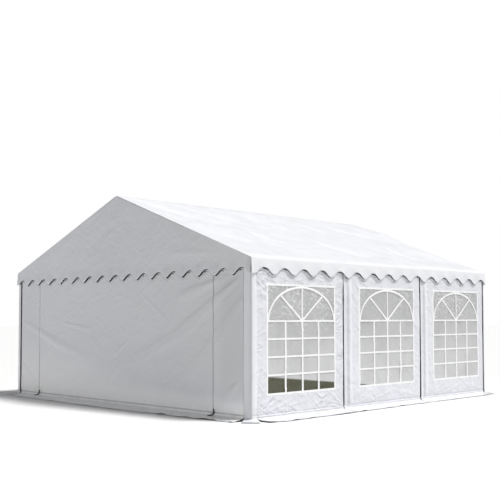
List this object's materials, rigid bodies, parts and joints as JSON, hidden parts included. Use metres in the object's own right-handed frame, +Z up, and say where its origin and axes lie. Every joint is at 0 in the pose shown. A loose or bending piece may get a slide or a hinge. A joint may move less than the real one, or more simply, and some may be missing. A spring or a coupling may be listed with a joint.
{
  "type": "marquee tent",
  "caption": "Square gable-roofed marquee tent: steel tube frame, white sheeting, scalloped valances, windows with arched bars in both long walls and a zipped door in each gable.",
  "frame": {"origin": "on the ground, under the middle of the ridge", "axes": "+Z is up, the ridge runs along Y, the front gable faces -Y and the right wall of windows faces +X"},
  "size_m": [6.36, 6.36, 3.2999],
  "materials": {
    "white_pvc_sheeting": "white coated fabric, slightly glossy",
    "clear_window_foil": "clear plastic window foil, slightly wavy",
    "galvanised_steel": "dull zinc"
  },
  "bodies": {
    "root": {"roof_slope_right": "white_pvc_sheeting", "roof_slope_left": "white_pvc_sheeting", "gable_front": "white_pvc_sheeting", "gable_back": "white_pvc_sheeting", "valance_right": "white_pvc_sheeting", "valance_left": "white_pvc_sheeting", "window_wall_right_1": "white_pvc_sheeting", "window_wall_right_2": "white_pvc_sheeting", "window_wall_right_3": "white_pvc_sheeting", "window_wall_left_1": "white_pvc_sheeting", "window_wall_left_2": "white_pvc_sheeting", "window_wall_left_3": "white_pvc_sheeting", "window_right_1": "clear_window_foil", "window_right_2": "clear_window_foil", "window_right_3": "clear_window_foil", "window_left_1": "clear_window_foil", "window_left_2": "clear_window_foil", "window_left_3": "clear_window_foil", "end_wall_front_left": "white_pvc_sheeting", "end_wall_front_right": "white_pvc_sheeting", "end_wall_back_left": "white_pvc_sheeting", "end_wall_back_right": "white_pvc_sheeting", "door_front": "white_pvc_sheeting", "door_back": "white_pvc_sheeting", "ridge_rail": "galvanised_steel", "purlin_right": "galvanised_steel", "purlin_left": "galvanised_steel", "eave_rail_right": "galvanised_steel", "eave_rail_left": "galvanised_steel", "tie_rail_front": "galvanised_steel", "tie_rail_back": "galvanised_steel", "ground_rail_right": "galvanised_steel", "ground_rail_left": "galvanised_steel", "ground_rail_front": "galvanised_steel", "ground_rail_back": "galvanised_steel", "roof_frame_1": "galvanised_steel", "roof_frame_2": "galvanised_steel", "roof_frame_3": "galvanised_steel", "roof_frame_4": "galvanised_steel", "post_right_1": "galvanised_steel", "post_right_2": "galvanised_steel", "post_right_3": "galvanised_steel", "post_right_4": "galvanised_steel", "post_left_1": "galvanised_steel", "post_left_2": "galvanised_steel", "post_left_3": "galvanised_steel", "post_left_4": "galvanised_steel"}
  },
  "joints": []
}
